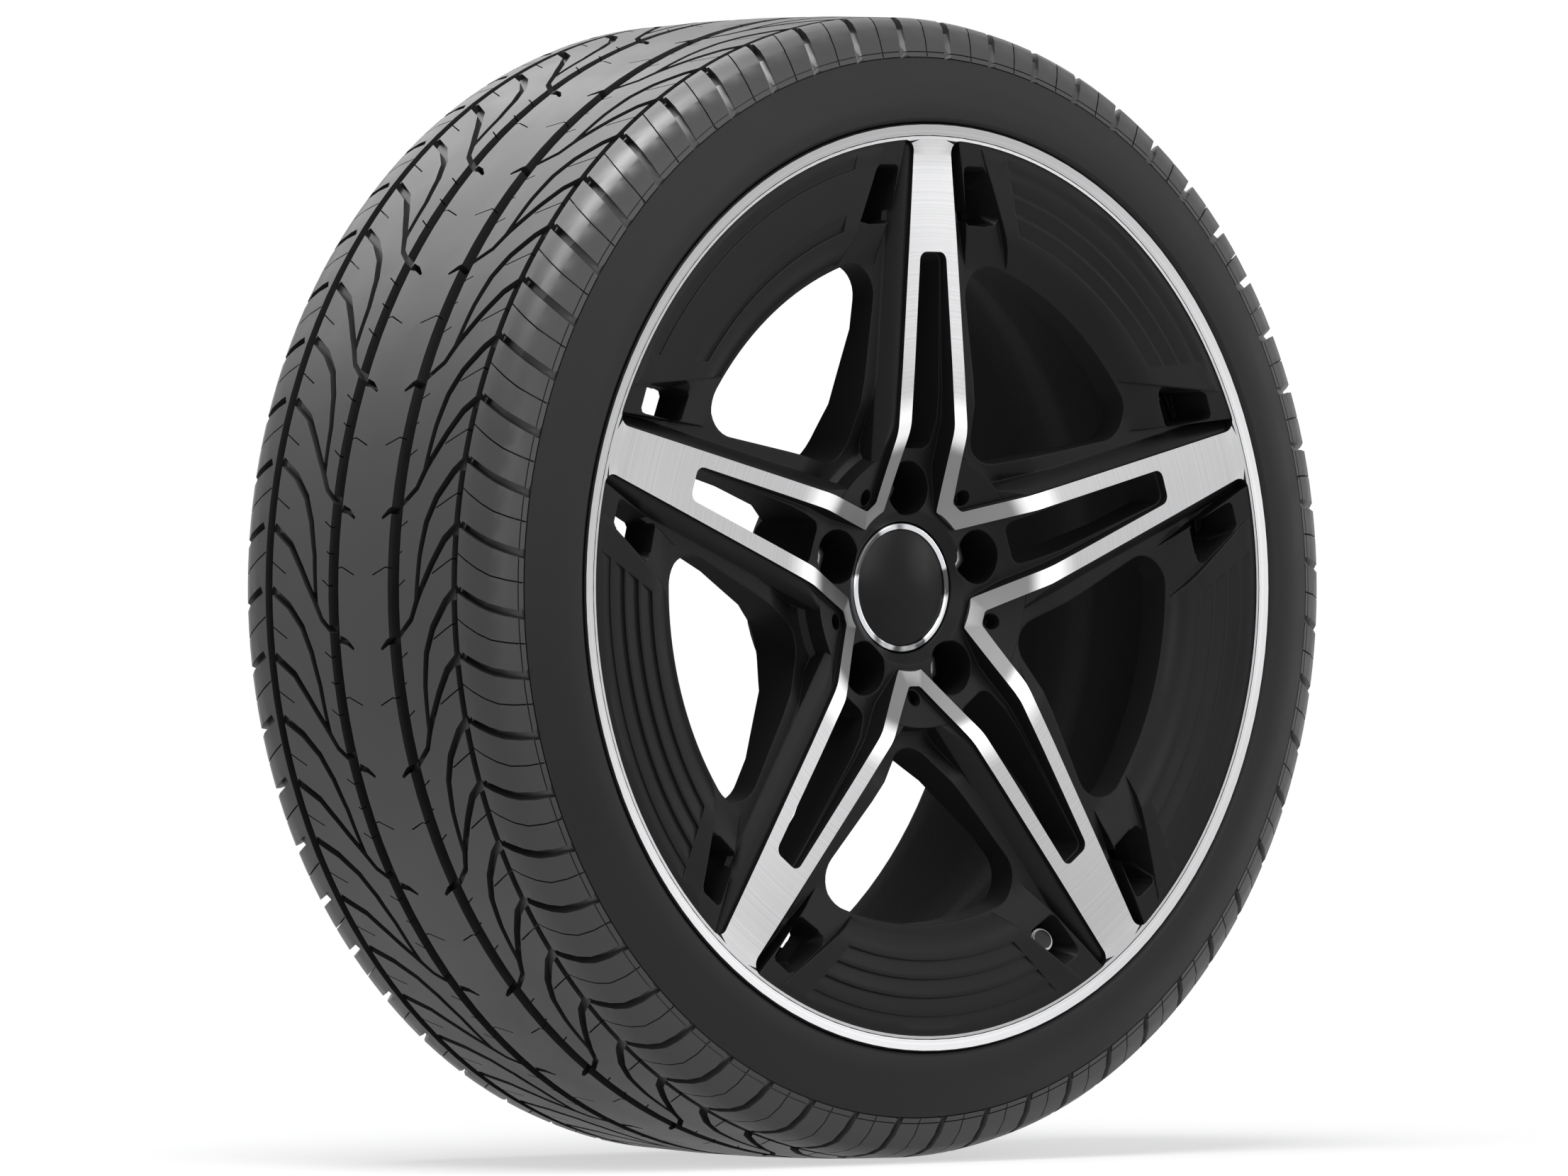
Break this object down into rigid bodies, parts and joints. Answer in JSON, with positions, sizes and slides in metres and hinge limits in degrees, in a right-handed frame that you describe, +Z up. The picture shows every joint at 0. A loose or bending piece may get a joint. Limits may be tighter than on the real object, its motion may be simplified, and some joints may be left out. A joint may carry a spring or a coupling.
{
  "type": "alloy wheel",
  "caption": "Alloy road wheel with five twin-bar spokes, ribbed panels between them and a low-profile tyre, with bolts, cap and valve.",
  "frame": {"origin": "centre of the wheel: on its axis, midway between the two rim flanges", "axes": "+Y along the wheel's axis, towards the car, so the styled face looks along -Y; +Z up through the middle of one spoke; +X to the right when the styled face is seen from the front"},
  "size_m": [0.647, 0.2432, 0.6468],
  "materials": {
    "black_paint": "semi-gloss black paint with turned bright faces",
    "tyre_rubber": "matt black rubber",
    "cap_plastic": "gloss black",
    "cap_chrome": "bright plated",
    "spring_steel": "spring steel",
    "bolt_steel": "dark zinc",
    "valve_metal": "satin metal",
    "core_brass": "brass",
    "seal_rubber": "black rubber",
    "sensor_plastic": "black moulding"
  },
  "bodies": {
    "wheel_body": {"wheel": "black_paint", "tyre": "tyre_rubber", "centre_cap": "cap_plastic", "cap_ring": "cap_chrome", "cap_wire": "spring_steel", "wheel_bolt_1": "bolt_steel", "wheel_bolt_2": "bolt_steel", "wheel_bolt_3": "bolt_steel", "wheel_bolt_4": "bolt_steel", "wheel_bolt_5": "bolt_steel", "valve_stem": "valve_metal", "valve_grommet": "seal_rubber", "valve_nut": "valve_metal", "valve_core": "core_brass", "valve_spring": "spring_steel", "pressure_sensor": "sensor_plastic", "sensor_screw": "valve_metal"},
    "cap_seal_body": {"valve_cap_seal": "seal_rubber"},
    "cap_body": {"valve_cap": "valve_metal"},
    "pin_body": {"valve_pin": "valve_metal"}
  },
  "joints": [
    {"name": "valve_cap_travel", "type": "slide", "parent": "wheel_body", "child": "cap_seal_body", "axis": [-0.1738, -0.9135, 0.3677], "range_m": [0, 0.006]},
    {"name": "valve_cap_turn", "type": "hinge", "parent": "cap_seal_body", "child": "cap_body", "pos_m": [0.09483, -0.10488, -0.20062], "axis": [-0.1738, -0.9135, 0.3677], "range_deg": [0, 2721]},
    {"name": "valve_pin_press", "type": "slide", "parent": "wheel_body", "child": "pin_body", "axis": [0.1738, 0.9135, -0.3677], "range_m": [0, 0.0015], "stiffness_N_per_m": 1500, "springref_m": -0.0005}
  ],
  "couplings": [
    {"joint": "valve_cap_turn", "follows": "valve_cap_travel", "rad_per_m": 7913.3}
  ]
}
